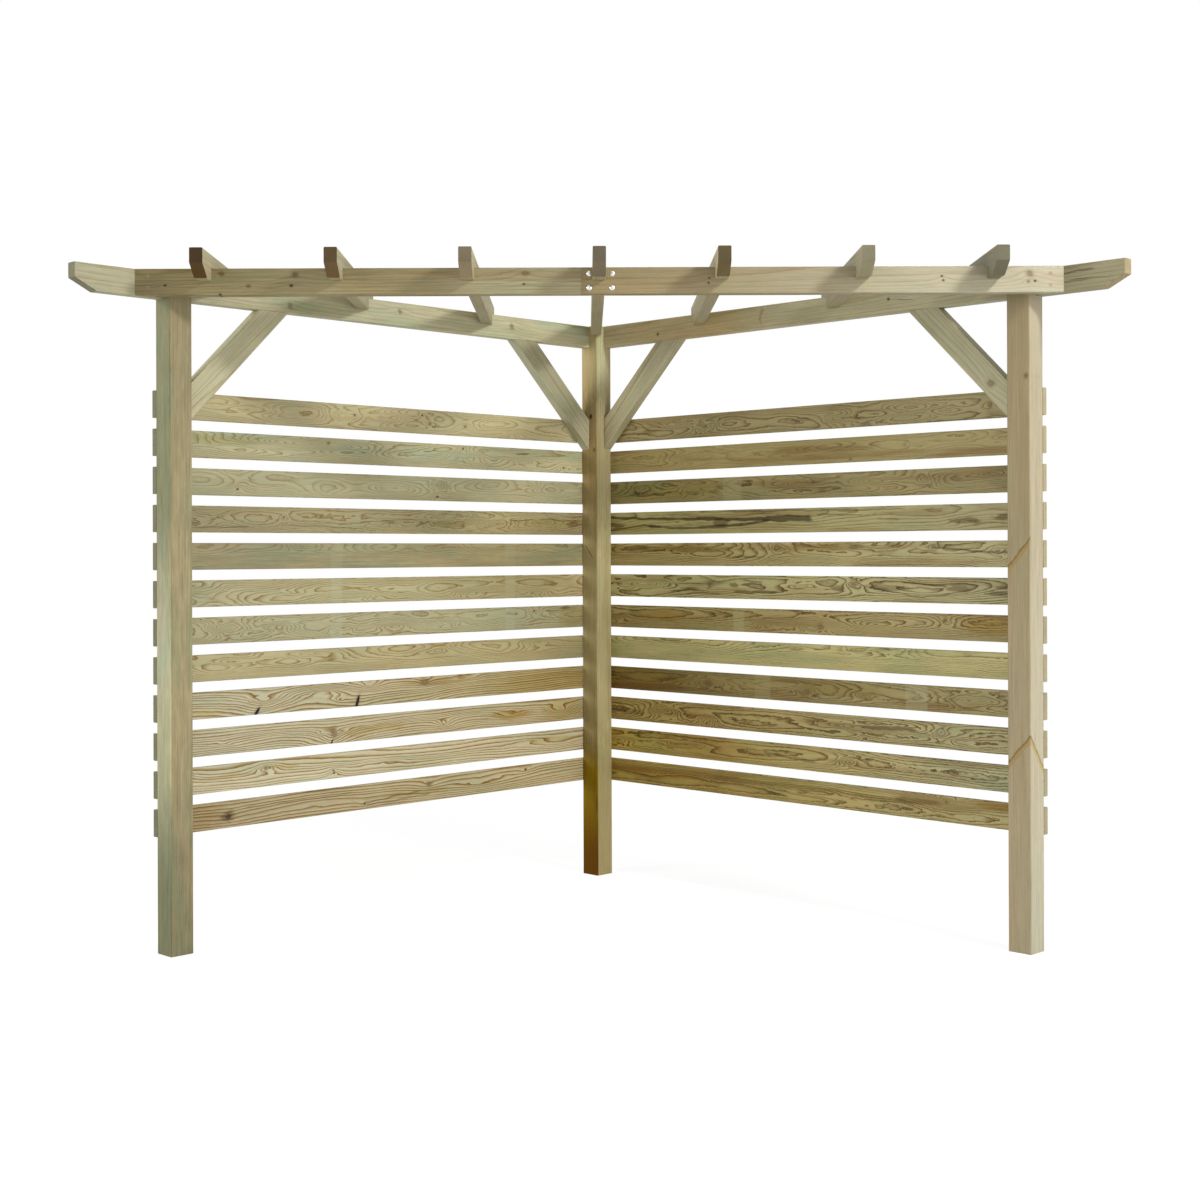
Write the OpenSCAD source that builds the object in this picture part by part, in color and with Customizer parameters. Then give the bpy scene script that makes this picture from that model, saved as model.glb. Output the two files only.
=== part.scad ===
// Corner pergola in planed, pressure-treated softwood.
// Two slatted panels meet at a right angle behind three square posts. A side beam lies along each
// panel, a bolted front beam ties their tails together, and seven notched rafters run front to back.
// The origin is the centre of the corner post's foot, +Z is up and the open front faces -Y.

/* [Posts] */
// Side of the square posts
post_w = 70; // [62:1:90]
// Height of the posts, which is also the top of the beams
post_h = 1859; // [1760:1:2400]
// Distance between the post centres along each panel
bay = 1645; // [1400:5:2000]

/* [Side beams] */
// Thickness of the side beams and the front beam
beam_t = 35; // [28:1:42]
// Depth of the side beams and the front beam
beam_d = 72; // [66:1:110]
// Length of a side beam's tail, from the front post's centre to its tip
tail = 295; // [210:5:400]
// Height of the upright face left at a tail's tip
tail_face = 40; // [20:1:60]
// Length of the slanted cut under a tail
tail_cut = 65; // [30:1:120]

/* [Front beam] */
// Length of the half lap that joins the front beam's two lengths
lap_len = 105; // [90:1:200]
// Distance of the lap's middle to the right of the corner post's centre
lap_shift = 4.5; // [0:0.5:5.5]
// Distance between the lap's two columns of bolts
bolt_columns = 61.5; // [60:0.5:66]
// Distance between the lap's two rows of bolts
bolt_rows = 38; // [26:1:46]

/* [Rafters] */
// Thickness of the rafters
rafter_t = 35; // [24:1:36]
// Depth of the rafters
rafter_d = 72; // [66:1:110]
// Depth of the notches that drop the rafters over the beams
notch = 34; // [15:1:45]
// Overhang of the rafters in front of the front beam
rafter_front = 108; // [65:1:200]
// Overhang of the rafters behind the side beams
rafter_back = 80; // [76:1:150]
// Height of the upright face left at a rafter's ends
rafter_face = 40; // [20:1:60]
// Length of the slanted cut under a rafter's ends
rafter_cut = 58; // [20:1:60]
// Distance along the front from a front post's centre to the last rafter's centre
rafter_edge = 104; // [90:1:200]
// Distance that the fifth rafter stands to the left of its even place
stray = 24; // [0:1:60]

/* [Braces] */
// Thickness of the braces
brace_t = 35; // [26:1:40]
// Depth of the braces
brace_d = 72; // [50:1:90]
// Distance from a post's face to where a brace's lower edge meets the beam
brace_reach = 345; // [260:1:450]

/* [Slats] */
// Width of a slat
slat_w = 75; // [60:1:80]
// Thickness of a slat
slat_t = 18; // [12:1:22]
// Open gap between two slats
slat_gap = 29.4; // [15:0.1:35]
// Height of the lowest slat's lower edge
slat_low = 317; // [100:1:400]

/* [Screws] */
// Diameter of the screws' shank
screw_d = 5; // [3.5:0.1:6]
// Diameter of the screws' countersunk head
head_d = 10; // [8:0.1:11]
// Length of the screws' pointed tip
tip = 6; // [4:0.5:8]
// Length of the screws through the slats
slat_screw = 45; // [35:1:48]
// Distance between the two screws at a slat's end
slat_screw_gap = 40; // [20:1:46]
// Length of the screws through the side beams into the posts
beam_screw = 50; // [44:1:54]
// Distance between the two screws of a beam's joint
beam_screw_gap = 31; // [20:1:40]
// Distance of these screws from the corner post's inner faces
corner_screw_in = 9; // [7:0.5:10]
// Length of the screws through the front beam's ends
end_screw = 60; // [50:1:64]
// Distance of these screws from the end of the front beam's face
end_screw_in = 36; // [34:1:40]
// Length of the screws down through the rafters
rafter_screw = 70; // [60:1:90]
// Length of the angled screws at the braces' ends
brace_screw = 50; // [40:1:52]
// Distance from a brace's end to where its angled screw goes in
brace_screw_in = 26; // [22:1:30]
// Angle between these screws and the brace's back
brace_screw_angle = 30; // [26:1:34]
// Depth that an angled screw's head is sunk, along the screw
pocket = 10; // [9:0.5:12]

/* [Bolts] */
// Diameter of the coach bolts' shank
bolt_d = 6; // [5:0.5:8]
// Diameter of their domed head
bolt_head_d = 15; // [12:0.5:16]
// Height of their domed head
bolt_head_h = 3.5; // [2:0.1:5]
// Depth of the square neck under the head
neck = 3.5; // [2:0.1:5]
// Width by which the neck is larger than the shank
neck_grow = 0.5; // [0.4:0.1:1]
// Diameter of the washers
washer_d = 12; // [11:0.5:14]
// Thickness of the washers
washer_t = 1.6; // [1:0.1:2.5]
// Width of the nuts across their flats
nut_w = 10; // [9:0.5:12]
// Height of the nuts
nut_h = 5; // [4:0.1:6]
// Length of bolt that stands out of a nut
bolt_end = 3; // [1:0.5:6]

/* [Finish] */
// Radius of the timbers' eased long edges
arris = 3; // [1:0.5:5]
// Clearance beside a timber that lies in a housing or notch
fit = 0.4; // [0.2:0.1:0.8]
// Clearance all round a screw or bolt in its hole
hole_fit = 0.15; // [0.1:0.05:0.4]

/* [Hidden] */
LEFT = -1;
RIGHT = 1;
rafters = 7;
slats = 12;
middle_rafter = (rafters + 1) / 2;
stray_rafter = 5;
// How far a cutting shape passes what it cuts
over = 2;
round_fn = 32;
root2 = sqrt(2);
PINE = [0.66, 0.60, 0.45];
PALE_PINE = [0.72, 0.67, 0.53];
BROWN_PINE = [0.56, 0.48, 0.33];
ZINC = [0.78, 0.79, 0.80];

// Places along a panel: x runs outwards from the corner post, y towards the sheltered side
half_post = post_w / 2;
beam_out = -half_post;
beam_in = beam_out + beam_t;
beam_mid = beam_out + beam_t / 2;
beam_z = post_h - beam_d;
beam_mid_z = beam_z + beam_d / 2;

// Places across the whole pergola
post_x = bay / root2;
post_reach = half_post * root2;
front_back = -post_x - post_reach;
front_face = front_back - beam_t;
front_mid = front_back - beam_t / 2;
front_end = -front_face - beam_in * root2;
lap_left = lap_shift - lap_len / 2;
lap_right = lap_shift + lap_len / 2;
rafter_z = post_h - notch;
rafter_top = rafter_z + rafter_d;
rafter_step = (post_x - rafter_edge) / (middle_rafter - 1);

// Sizes of the fasteners that follow from the others
head_h = (head_d - screw_d) / 2;
bolt_len = beam_t + washer_t + nut_h + bolt_end;
dome_r = (bolt_head_d * bolt_head_d / 4 + bolt_head_h * bolt_head_h) / (2 * bolt_head_h);

function rafter_x(i) = (i - middle_rafter) * rafter_step - (i == stray_rafter ? stray : 0);
// How far right of the origin a rafter's centre lies, whichever side it is on
function rafter_off(i) = abs(rafter_x(i));
// Where a rafter's rear screw goes down: the middle of the side beam, or of the corner post's top
function rear_screw_y(i) = i == middle_rafter
  ? -(beam_in + half_post) / root2
  : -rafter_off(i) - beam_mid * root2;
function slat_z(i) = slat_low + (i - 1) * (slat_w + slat_gap);
function two_digits(i) = i < 10 ? str("0", i) : str(i);

// The left half is modelled, and the right half is its mirror image
module mirrored(side) {
  if (side == RIGHT) mirror([1, 0, 0]) children();
  else children();
}

// Turns panel places into pergola places: the left panel runs to the front left
module on_panel(side) {
  mirrored(side) rotate([0, 0, 225]) children();
}

// The same place along a panel, counted from the front post instead of the corner post
module from_front(yes) {
  if (yes) translate([bay, 0, 0]) mirror([1, 0, 0]) children();
  else children();
}

// Cross-section with eased corners, its low corner at the origin
module eased_section(across, up) {
  translate([arris, 0]) square([across - 2 * arris, up]);
  translate([0, arris]) square([across, up - 2 * arris]);
  for (x = [arris, across - arris], y = [arris, up - arris])
    translate([x, y]) circle(arris, $fn = round_fn);
}

// A planed timber along +X, with its thickness along +Y and its depth along +Z
module timber(long, thick, deep) {
  rotate([90, 0, 90]) linear_extrude(long) eased_section(thick, deep);
}

// What the slanted cut takes off the underside of a timber that ends at x = long
module end_cut(long, thick, deep, face, cut) {
  translate([0, thick + over, 0]) rotate([90, 0, 0]) linear_extrude(thick + 2 * over)
    polygon([[long - cut, 0], [long, deep - face], [long + over, deep - face],
             [long + over, -over], [long - cut, -over]]);
}

// A countersunk wood screw that points down from its head's flat top
module screw(long) {
  rotate_extrude($fn = round_fn)
    polygon([[0, 0], [head_d / 2, 0], [screw_d / 2, -head_h], [screw_d / 2, tip - long], [0, -long]]);
}

// The hole for that screw, open above its head
module screw_hole(long) {
  head_r = head_d / 2 + hole_fit;
  shank_r = screw_d / 2 + hole_fit;
  rotate_extrude($fn = round_fn)
    polygon([[0, 3 * pocket], [head_r, 3 * pocket], [head_r, 0], [shank_r, -head_h],
             [shank_r, tip - long], [0, -long - hole_fit]]);
}

// The two screws that hold a slat at the post whose centre is at x
module at_slat_end(i, x) {
  for (z = [-1, 1])
    translate([x, -half_post - slat_t, slat_z(i) + slat_w / 2 + z * slat_screw_gap / 2])
      rotate([90, 0, 0]) children();
}

// The two screws through a side beam into a post
module at_beam_screws(x) {
  for (z = [-1, 1])
    translate([x, beam_out, beam_mid_z + z * beam_screw_gap / 2]) rotate([90, 0, 0]) children();
}

// The two screws through one end of the front beam into a side beam's tail
module at_front_beam_screws(side) {
  for (z = [-1, 1])
    translate([side * (front_end - end_screw_in), front_face, beam_mid_z + z * beam_screw_gap / 2])
      rotate([90, 0, 0]) children();
}

// A rafter's front screw, which bites the front cheek of the front beam
module at_rafter_front_screw(i) {
  translate([rafter_x(i), front_face + beam_t / 4, rafter_top]) children();
}

// A rafter's rear screw
module at_rafter_rear_screw(i) {
  translate([rafter_x(i), rear_screw_y(i), rafter_top]) children();
}

// Distance of an angled screw from the end of a brace's lower edge
brace_screw_up = brace_screw_in / 2 + brace_d / root2;

// The angled screw through a brace's back into the post
module at_brace_post_screw() {
  translate([half_post + brace_screw_in, beam_out, beam_z - brace_reach + brace_screw_up])
    rotate([0, 0, 90 - brace_screw_angle]) rotate([90, 0, 0])
      translate([0, 0, -pocket]) children();
}

// The angled screw through a brace's back up into the beam
module at_brace_beam_screw() {
  translate([half_post + brace_reach - brace_screw_up, beam_out, beam_z - brace_screw_in])
    rotate([180 - brace_screw_angle, 0, 0]) translate([0, 0, -pocket]) children();
}

// The four bolts of the lap, pointing back from the front beam's face
module at_bolts() {
  for (x = [-1, 1], z = [-1, 1])
    translate([lap_shift + x * bolt_columns / 2, front_face, beam_mid_z + z * bolt_rows / 2])
      rotate([90, 0, 0]) children();
}

module post_blank() {
  translate([-half_post, -half_post, 0]) linear_extrude(post_h) eased_section(post_w, post_w);
}

// The housing that a side beam lies in, in the outer part of a post's top
module housing() {
  translate([-half_post - over, beam_out - over, beam_z])
    cube([post_w + 2 * over, beam_t + over + fit, beam_d + over]);
}

// Two housings cross here, and the post's inner quarter stands up between the mitred beams
module corner_post() {
  color(PINE) difference() {
    rotate([0, 0, 45]) post_blank();
    for (side = [LEFT, RIGHT]) on_panel(side) {
      housing();
      at_beam_screws(half_post - corner_screw_in) screw_hole(beam_screw);
      at_brace_post_screw() screw_hole(brace_screw);
      for (i = [1 : slats]) at_slat_end(i, 0) screw_hole(slat_screw);
    }
    at_rafter_rear_screw(middle_rafter) screw_hole(rafter_screw);
  }
}

module front_post(side) {
  color(PINE) on_panel(side) difference() {
    translate([bay, 0, 0]) post_blank();
    translate([bay, 0, 0]) housing();
    at_beam_screws(bay) screw_hole(beam_screw);
    from_front(true) at_brace_post_screw() screw_hole(brace_screw);
    for (i = [1 : slats]) at_slat_end(i, bay) screw_hole(slat_screw);
  }
}

// A side beam, mitred against its neighbour over the corner post
module side_beam(side) {
  long = half_post + bay + tail;
  color(PALE_PINE) difference() {
    on_panel(side) difference() {
      translate([-half_post, beam_out, beam_z]) difference() {
        timber(long, beam_t, beam_d);
        end_cut(long, beam_t, beam_d, tail_face, tail_cut);
      }
      at_beam_screws(half_post - corner_screw_in) screw_hole(beam_screw);
      at_beam_screws(bay) screw_hole(beam_screw);
      for (front = [false, true])
        from_front(front) at_brace_beam_screw() screw_hole(brace_screw);
    }
    mirrored(side) translate([-fit / 2, -post_w, beam_z - over])
      cube([post_w, 2 * post_w, beam_d + 2 * over]);
    at_front_beam_screws(side) screw_hole(end_screw);
    for (i = [1 : rafters])
      if (rafter_x(i) * side > 0) at_rafter_rear_screw(i) screw_hole(rafter_screw);
  }
}

// The front beam before it is cut in two, its ends mitred against the side beams' inner faces
module front_beam_blank() {
  difference() {
    translate([-front_end, front_face, beam_z]) timber(2 * front_end, beam_t, beam_d);
    for (side = [LEFT, RIGHT]) {
      on_panel(side) translate([bay, beam_in + fit - 2 * beam_t, beam_z - over])
        cube([3 * post_w, 2 * beam_t, beam_d + 2 * over]);
      at_front_beam_screws(side) screw_hole(end_screw);
    }
    at_bolts() bolt_hole();
    for (i = [1 : rafters]) at_rafter_front_screw(i) screw_hole(rafter_screw);
  }
}

// A block that takes away the front beam between two places along it
module front_beam_cut(from_x, to_x, from_y, to_y) {
  translate([from_x, from_y, beam_z - over])
    cube([to_x - from_x, to_y - from_y, beam_d + 2 * over]);
}

// The left length keeps the lap's rear cheek
module front_beam_left() {
  color(PALE_PINE) difference() {
    front_beam_blank();
    front_beam_cut(lap_right - fit / 2, front_end + over, front_face - over, front_back + over);
    front_beam_cut(lap_left - fit / 2, lap_right, front_face - over, front_mid);
  }
}

// The right length keeps the lap's front cheek
module front_beam_right() {
  color(PALE_PINE) difference() {
    front_beam_blank();
    front_beam_cut(-front_end - over, lap_left + fit / 2, front_face - over, front_back + over);
    front_beam_cut(lap_left, lap_right + fit / 2, front_mid, front_back + over);
  }
}

// The notch where a rafter crosses a side beam at 45 degrees, or sits over the corner post
module rear_notch(i) {
  if (i == middle_rafter)
    translate([-rafter_t, -post_reach - fit, rafter_z - over])
      cube([2 * rafter_t, 2 * (post_reach + fit), notch + over]);
  else
    on_panel(sign(rafter_x(i))) translate([rafter_off(i) * root2 + beam_mid, 0, 0])
      translate([-2 * beam_t, beam_out - fit, rafter_z - over])
        cube([4 * beam_t, beam_t + 2 * fit, notch + over]);
}

module rafter(i) {
  front_y = front_face - rafter_front;
  long = -rafter_off(i) + post_reach + rafter_back - front_y;
  color(PINE) difference() {
    translate([rafter_x(i) + rafter_t / 2, front_y, rafter_z]) rotate([0, 0, 90]) difference() {
      timber(long, rafter_t, rafter_d);
      end_cut(long, rafter_t, rafter_d, rafter_face, rafter_cut);
      translate([long, 0, 0]) mirror([1, 0, 0])
        end_cut(long, rafter_t, rafter_d, rafter_face, rafter_cut);
    }
    translate([rafter_x(i) - rafter_t, front_face - fit, rafter_z - over])
      cube([2 * rafter_t, beam_t + 2 * fit, notch + over]);
    rear_notch(i);
    at_rafter_front_screw(i) screw_hole(rafter_screw);
    at_rafter_rear_screw(i) screw_hole(rafter_screw);
  }
}

// A brace between a post and its side beam, cut at 45 degrees to lie against both
module brace(side, front) {
  color(PINE) on_panel(side) from_front(front) difference() {
    translate([half_post, beam_out, beam_z - brace_reach]) rotate([0, -45, 0])
      translate([-over, 0, 0]) timber(brace_reach * root2 + 2 * over, brace_t, brace_d);
    translate([half_post - 2 * brace_d, beam_out - over, beam_z - brace_reach - brace_d])
      cube([2 * brace_d, brace_t + 2 * over, 3 * brace_d]);
    translate([half_post + brace_reach - 2 * brace_d, beam_out - over, beam_z])
      cube([3 * brace_d, brace_t + 2 * over, 2 * brace_d]);
    at_brace_post_screw() screw_hole(brace_screw);
    at_brace_beam_screw() screw_hole(brace_screw);
  }
}

module slat(side, i) {
  color(side == LEFT ? PINE : BROWN_PINE) on_panel(side) difference() {
    translate([-half_post, -half_post - slat_t, slat_z(i)])
      timber(bay + post_w, slat_t, slat_w);
    for (x = [0, bay]) at_slat_end(i, x) screw_hole(slat_screw);
  }
}

module slat_screws(side) {
  color(ZINC) on_panel(side)
    for (i = [1 : slats], x = [0, bay]) at_slat_end(i, x) screw(slat_screw);
}

module beam_screws() {
  color(ZINC) for (side = [LEFT, RIGHT], x = [half_post - corner_screw_in, bay])
    on_panel(side) at_beam_screws(x) screw(beam_screw);
}

module front_beam_screws() {
  color(ZINC) for (side = [LEFT, RIGHT]) at_front_beam_screws(side) screw(end_screw);
}

module rafter_screws() {
  color(ZINC) for (i = [1 : rafters]) {
    at_rafter_front_screw(i) screw(rafter_screw);
    at_rafter_rear_screw(i) screw(rafter_screw);
  }
}

module brace_screws() {
  color(ZINC) for (side = [LEFT, RIGHT], front = [false, true]) on_panel(side) from_front(front) {
    at_brace_post_screw() screw(brace_screw);
    at_brace_beam_screw() screw(brace_screw);
  }
}

// A square section round the bolt's axis, from the beam's face down
module square_neck(side, deep) {
  translate([-side / 2, -side / 2, -deep]) cube([side, side, deep]);
}

// A coach bolt that points down from the underside of its domed head
module lap_bolt() {
  rotate_extrude($fn = round_fn) intersection() {
    translate([0, bolt_head_h - dome_r]) circle(dome_r, $fn = 4 * round_fn);
    square([bolt_head_d, bolt_head_h]);
  }
  square_neck(bolt_d + neck_grow, neck);
  translate([0, 0, -bolt_len]) cylinder(bolt_len, d = bolt_d, $fn = round_fn);
}

module bolt_hole() {
  translate([0, 0, over]) square_neck(bolt_d + neck_grow + 2 * hole_fit, neck + over + hole_fit);
  translate([0, 0, -beam_t - over])
    cylinder(beam_t + 2 * over, d = bolt_d + 2 * hole_fit, $fn = round_fn);
}

module lap_bolts() {
  color(ZINC) at_bolts() lap_bolt();
}

module lap_washers() {
  color(ZINC) at_bolts() translate([0, 0, -beam_t - washer_t]) difference() {
    cylinder(washer_t, d = washer_d, $fn = round_fn);
    translate([0, 0, -over])
      cylinder(washer_t + 2 * over, d = bolt_d + 2 * hole_fit, $fn = round_fn);
  }
}

module lap_nuts() {
  color(ZINC) at_bolts() translate([0, 0, -beam_t - washer_t - nut_h]) difference() {
    cylinder(nut_h, d = nut_w / cos(30), $fn = 6);
    translate([0, 0, -over])
      cylinder(nut_h + 2 * over, d = bolt_d + 2 * hole_fit, $fn = round_fn);
  }
}

corner_post();
front_post(LEFT);  // left_post
front_post(RIGHT);  // right_post
side_beam(LEFT);  // left_side_beam
side_beam(RIGHT);  // right_side_beam
front_beam_left();
front_beam_right();
brace(LEFT, false);  // left_corner_brace
brace(LEFT, true);  // left_front_brace
brace(RIGHT, false);  // right_corner_brace
brace(RIGHT, true);  // right_front_brace
for (i = [1 : rafters])
  rafter(i);
for (i = [1 : slats])
  slat(LEFT, i);
for (i = [1 : slats])
  slat(RIGHT, i);
slat_screws(LEFT);  // left_slat_screws
slat_screws(RIGHT);  // right_slat_screws
beam_screws();
front_beam_screws();
rafter_screws();
brace_screws();
lap_bolts();
lap_washers();
lap_nuts();
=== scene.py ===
import math
import random

import bpy
from mathutils import Matrix, Vector

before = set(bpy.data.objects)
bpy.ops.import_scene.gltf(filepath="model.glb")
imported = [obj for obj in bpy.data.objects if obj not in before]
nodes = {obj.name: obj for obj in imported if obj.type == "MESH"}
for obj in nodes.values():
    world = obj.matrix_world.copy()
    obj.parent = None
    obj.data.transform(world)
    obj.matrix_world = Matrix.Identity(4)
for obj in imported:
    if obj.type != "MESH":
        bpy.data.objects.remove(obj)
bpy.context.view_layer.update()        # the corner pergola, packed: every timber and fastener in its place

print("frame loaded:", len(nodes), "nodes")


# Camera: in front of the corner post and turned by a hair, as the photograph was taken
cameraSettings = {
    "place": (-0.040, -5.884, 1.0945),
    "lean": 0.18,             # degrees that the camera was held off level
    "turn": 0.105,            # degrees to the left
    "lens": 51.80,            # mm on a 36 mm sensor
    "shift": (0.0151, -0.0401),
}


def makeCamera(settings):
    lens = bpy.data.cameras.new("camera")
    lens.sensor_width = 36
    lens.lens = settings["lens"]
    lens.shift_x, lens.shift_y = settings["shift"]
    lens.clip_end = 100
    camera = bpy.data.objects.new("camera", lens)
    camera.location = settings["place"]
    camera.rotation_euler = [math.radians(angle) for angle in (90, settings["lean"], settings["turn"])]
    bpy.context.scene.collection.objects.link(camera)
    bpy.context.scene.camera = camera


makeCamera(cameraSettings)


class Wire:
    # An output of a material's node, so that sums on it can be written as Python
    def __init__(self, finish, socket):
        self.finish = finish
        self.socket = socket

    def sum(self, operation, *values):
        # Vector Math keeps the three parts of a place or a colour, which Math would make grey
        threePart = any(value.socket.type in ("VECTOR", "RGBA") if isinstance(value, Wire)
                        else isinstance(value, (tuple, Vector)) for value in values)
        kind = "VectorMath" if threePart else "Math"
        return self.finish.add(kind, {"operation": operation}, dict(enumerate(values)))

    def __add__(self, other):
        return self.sum("ADD", self, other)

    def __radd__(self, other):
        return self.sum("ADD", other, self)

    def __sub__(self, other):
        return self.sum("SUBTRACT", self, other)

    def __rsub__(self, other):
        return self.sum("SUBTRACT", other, self)

    def __mul__(self, other):
        return self.sum("MULTIPLY", self, other)

    def __rmul__(self, other):
        return self.sum("MULTIPLY", other, self)

    def __truediv__(self, other):
        return self.sum("DIVIDE", self, other)

    def __rpow__(self, other):
        return self.sum("POWER", other, self)

    def __abs__(self):
        return self.sum("ABSOLUTE", self)

    def fraction(self):
        return self.sum("FRACT", self)

    def whole(self):
        return self.sum("FLOOR", self)

    def length(self):
        return self.finish.add("VectorMath", {"operation": "LENGTH"}, {0: self}, "Value")

    def dot(self, direction):
        return self.finish.add("VectorMath", {"operation": "DOT_PRODUCT"}, {0: self, 1: direction}, "Value")

    def step(self, start, end):
        # 0 up to start and 1 from end on, with a smooth slope between; start may be the larger
        return self.finish.add("MapRange", {"interpolation_type": "SMOOTHSTEP"},
                               {"Value": self, "From Min": start, "From Max": end})


class Finish:
    # A material, built node by node
    def __init__(self, name):
        self.material = bpy.data.materials.new(name)
        self.material.use_nodes = True
        self.tree = self.material.node_tree
        self.shader = self.tree.nodes["Principled BSDF"]

    def add(self, kind, settings=None, values=None, out=0):
        node = self.tree.nodes.new("ShaderNode" + kind)
        for name, setting in (settings or {}).items():
            setattr(node, name, setting)
        for name, value in (values or {}).items():
            self.join(node.inputs[name], value)
        return Wire(self, node.outputs[out])

    def join(self, socket, value):
        if isinstance(value, Wire):
            self.tree.links.new(value.socket, socket)
        elif socket.type == "RGBA":
            socket.default_value = (*value, 1)
        elif socket.type == "VECTOR" and isinstance(value, (int, float)):
            socket.default_value = (value, value, value)
        else:
            socket.default_value = value

    def set(self, **values):
        for name, value in values.items():
            self.join(self.shader.inputs[name.replace("_", " ")], value)

    def mix(self, factor, low, high):
        return self.add("Mix", {"data_type": "RGBA"}, {0: factor, 6: low, 7: high}, 2)

    def noise(self, place, detail=2, rough=0.5, out="Fac"):
        return self.add("TexNoise", {}, {"Vector": place, "Scale": 1, "Detail": detail, "Roughness": rough}, out)

    def bump(self, height, depth):
        # depth in metres for a height of 1
        return self.add("Bump", {}, {"Height": height, "Strength": 1, "Distance": depth})


# Floor: pale, and it keeps the shadow while the camera sees it nearly white
floorSettings = {
    "size": 60,
    "height": -0.0005,        # metres, so that the posts' feet don't lie in it
    "keep": 0.22,             # how much of the light and shadow on the floor shows
    "white": 0.60,            # the light on the open floor that shows as pure white
    "colour": (0.82, 0.82, 0.82),
    "middle": (0, -0.6, 0),   # of the pergola's plan
    "fadeFrom": 1.6,          # metres from there where the shadow starts to fade out
    "fadeTo": 3.2,
}


def makeFloor(settings):
    bpy.ops.mesh.primitive_plane_add(size=settings["size"], location=(0, 0, settings["height"]))
    floor = bpy.context.object
    floor.name = "floor"
    finish = Finish("floorPaint")
    place = finish.add("TexCoord", {}, {}, "Object")
    fade = (place - settings["middle"]).length().step(settings["fadeFrom"], settings["fadeTo"])
    rays = [finish.add("LightPath", {}, {}, f"Is {kind} Ray") for kind in ("Camera", "Glossy", "Transmission")]
    seen = (rays[0] + rays[1] + rays[2]).step(0, 1)
    matte = finish.add("BsdfDiffuse", {}, {"Color": settings["colour"]})
    shown = finish.add("BsdfDiffuse", {}, {"Color": [settings["keep"]] * 3})
    white = finish.add("Emission", {}, {"Color": (1, 1, 1), "Strength": 1})
    glow = finish.add("Emission", {}, {"Color": (1, 1, 1),
                                       "Strength": 1 - settings["keep"] * settings["white"]})
    lit = finish.add("AddShader", {}, {0: shown, 1: glow})
    paper = finish.add("MixShader", {}, {0: fade, 1: lit, 2: white})
    both = finish.add("MixShader", {}, {0: seen, 1: matte, 2: paper})
    finish.join(finish.tree.nodes["Material Output"].inputs["Surface"], both)
    floor.data.materials.append(finish.material)


makeFloor(floorSettings)


# Light: a small key high on the right that casts the rafters' shadows, a tall soft one under it,
# a far fill from the left, and an even sky
lightSettings = {
    "sky": 0.43,
    "lamps": [
        # place, the point it faces, width and height in metres, watts
        ((2.6, -3.2, 3.5), (0.5, -1.1, 1.5), (0.5, 0.5), 84),
        ((3.2, -3.6, 1.4), (0.2, -0.9, 1.1), (1.6, 2.4), 51),
        ((-7.0, -3.4, 2.4), (0.0, -0.9, 1.0), (3.0, 3.0), 285),
    ],
}


def makeLight(settings):
    for number, (place, target, (width, height), watts) in enumerate(settings["lamps"], 1):
        lamp = bpy.data.lights.new(f"lamp{number}", "AREA")
        lamp.shape = "RECTANGLE"
        lamp.size = width
        lamp.size_y = height
        lamp.energy = watts
        holder = bpy.data.objects.new(lamp.name, lamp)
        holder.location = place
        holder.rotation_euler = (Vector(target) - Vector(place)).to_track_quat("-Z", "Y").to_euler()
        bpy.context.scene.collection.objects.link(holder)
    world = bpy.data.worlds.new("sky")
    world.use_nodes = True
    tree = world.node_tree
    tree.nodes.clear()
    sky = tree.nodes.new("ShaderNodeBackground")
    sky.inputs["Color"].default_value = (1, 1, 1, 1)
    sky.inputs["Strength"].default_value = settings["sky"]
    white = tree.nodes.new("ShaderNodeBackground")
    white.inputs["Color"].default_value = (1, 1, 1, 1)
    path = tree.nodes.new("ShaderNodeLightPath")
    seen = path.outputs["Is Camera Ray"]
    for kind in ("Is Glossy Ray", "Is Transmission Ray"):
        either = tree.nodes.new("ShaderNodeMath")
        either.operation = "MAXIMUM"
        tree.links.new(seen, either.inputs[0])
        tree.links.new(path.outputs[kind], either.inputs[1])
        seen = either.outputs[0]
    both = tree.nodes.new("ShaderNodeMixShader")
    output = tree.nodes.new("ShaderNodeOutputWorld")
    tree.links.new(seen, both.inputs[0])
    tree.links.new(sky.outputs[0], both.inputs[1])
    tree.links.new(white.outputs[0], both.inputs[2])
    tree.links.new(both.outputs[0], output.inputs["Surface"])
    bpy.context.scene.world = world


makeLight(lightSettings)
bpy.context.scene.view_settings.view_transform = "Standard"
print("camera, floor and lamps ready")


# The ways the timbers lie, on the right of the pergola; the left half is its mirror image
up = Vector((0, 0, 1))
outAlong = Vector((1, -1, 0)).normalized()       # from the corner post along the right panel
lies = {
    # along the timber, across its width; its thickness follows from the two
    "panel": (outAlong, up),
    "post": (up, outAlong),
    "cornerBrace": ((up + outAlong).normalized(), (up - outAlong).normalized()),
    "frontBrace": ((up - outAlong).normalized(), -(up + outAlong).normalized()),
    "front": (Vector((1, 0, 0)), up),
    "rafter": (Vector((0, 1, 0)), up),
}

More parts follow.
